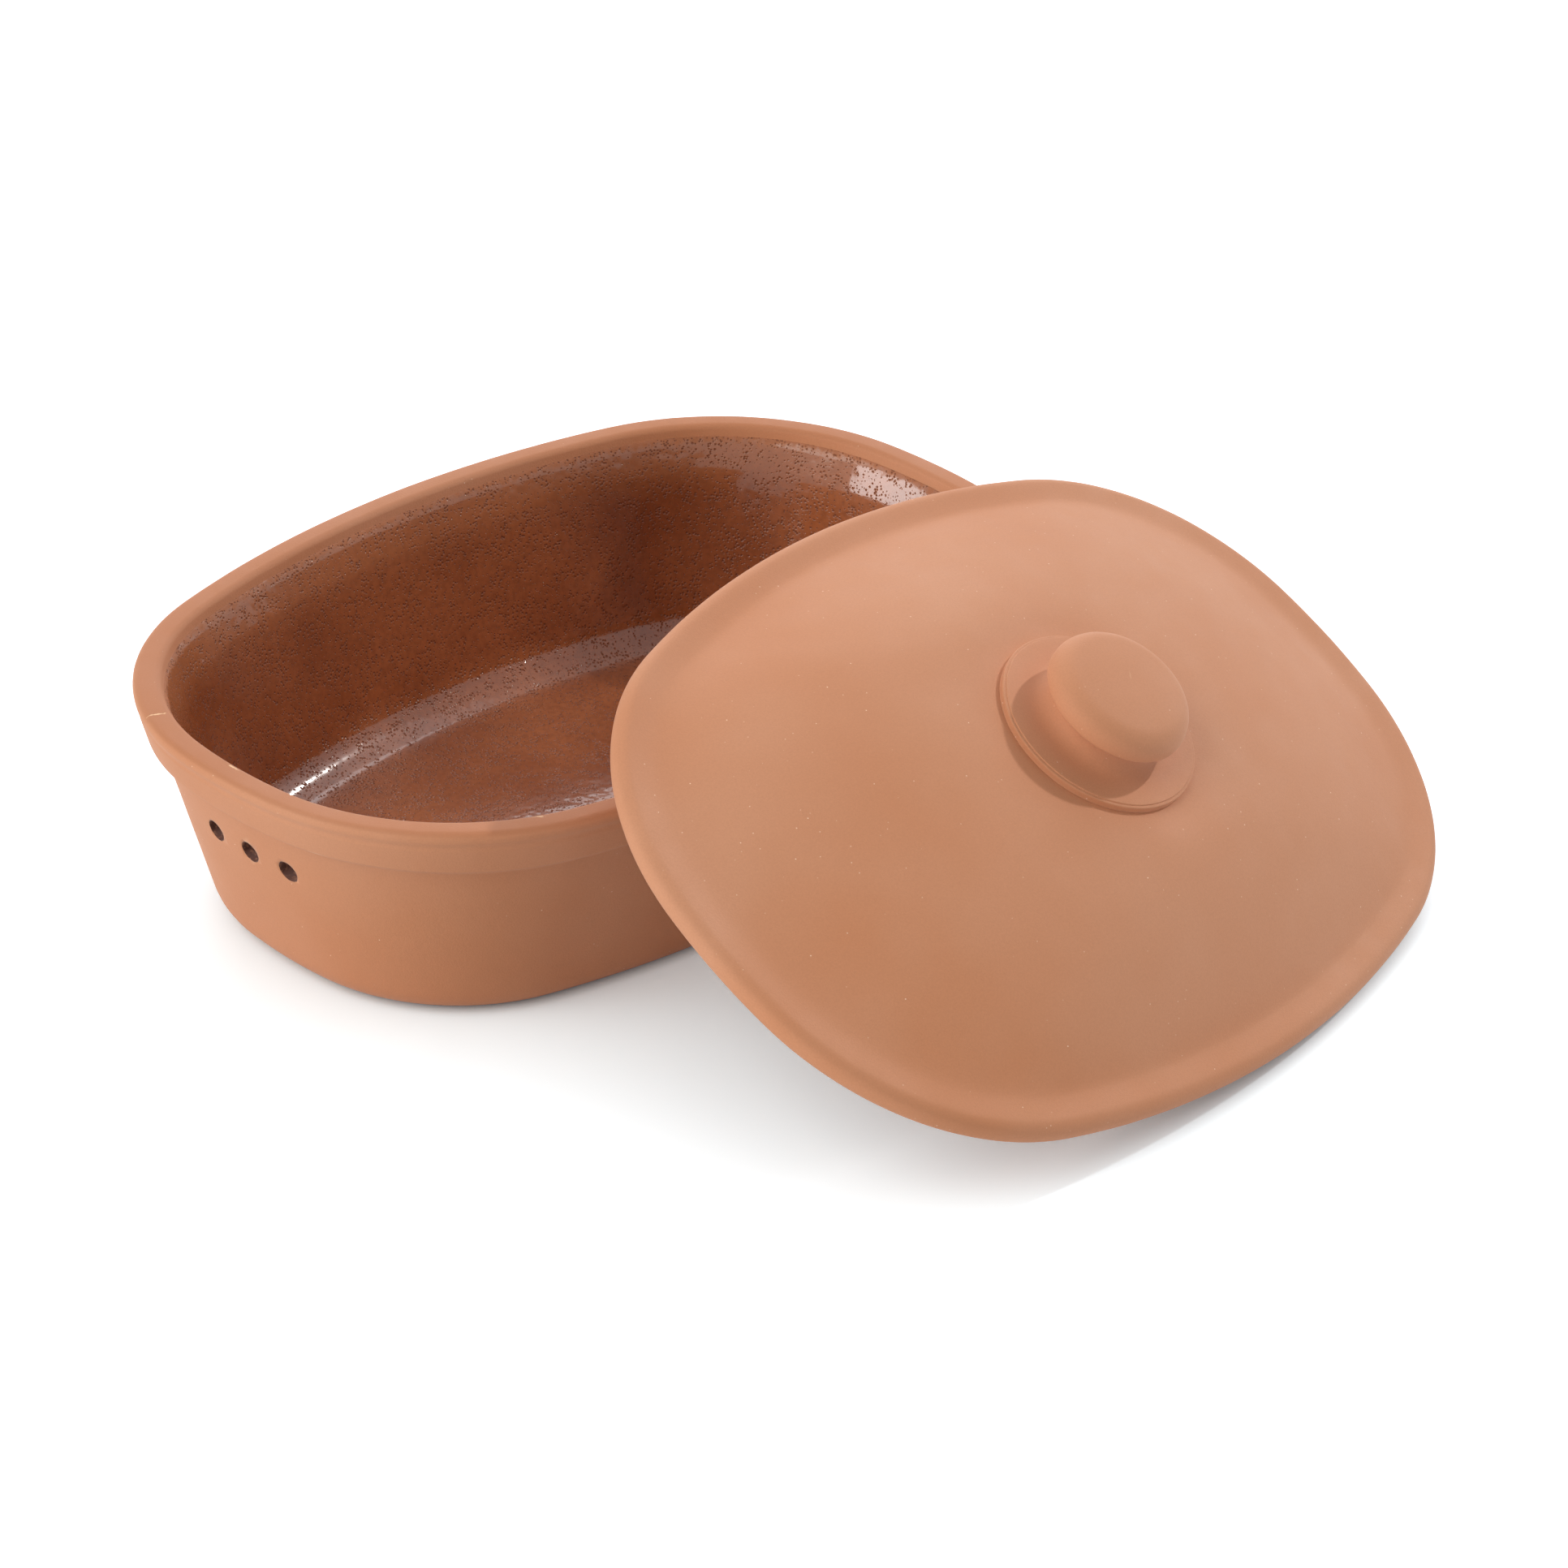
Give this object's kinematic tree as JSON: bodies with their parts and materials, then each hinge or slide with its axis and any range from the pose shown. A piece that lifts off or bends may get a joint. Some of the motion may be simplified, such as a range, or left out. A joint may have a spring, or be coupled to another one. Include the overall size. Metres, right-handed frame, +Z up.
{
  "type": "bread crock",
  "caption": "Oval-cornered terracotta bread crock with a glazed inside, end vents and a domed lid with a knob; the lid is off and leans on the rim.",
  "frame": {"origin": "middle of the pot's flat base, on the surface it stands on", "axes": "+X along the pot's length with the pictured vents at -X, +Y across it away from the leaning lid, +Z up"},
  "size_m": [0.4197, 0.4289, 0.1423],
  "materials": {
    "terracotta_pot": "bare fired clay, matt, fine pale specks",
    "brown_glaze": "glossy transparent brown glaze with orange peel",
    "terracotta_lid": "bare fired clay, matt, fine pale specks",
    "terracotta_knob": "bare fired clay, matt, fine pale specks"
  },
  "bodies": {
    "pot": {"pot": "terracotta_pot", "inner_glaze": "brown_glaze"},
    "lid": {"lid": "terracotta_lid", "lid_knob": "terracotta_knob"}
  },
  "joints": [
    {"name": "lid_lift", "type": "slide", "parent": "pot", "child": "lid", "axis": [0, 0, 1], "range_m": [0, 0.15]}
  ]
}
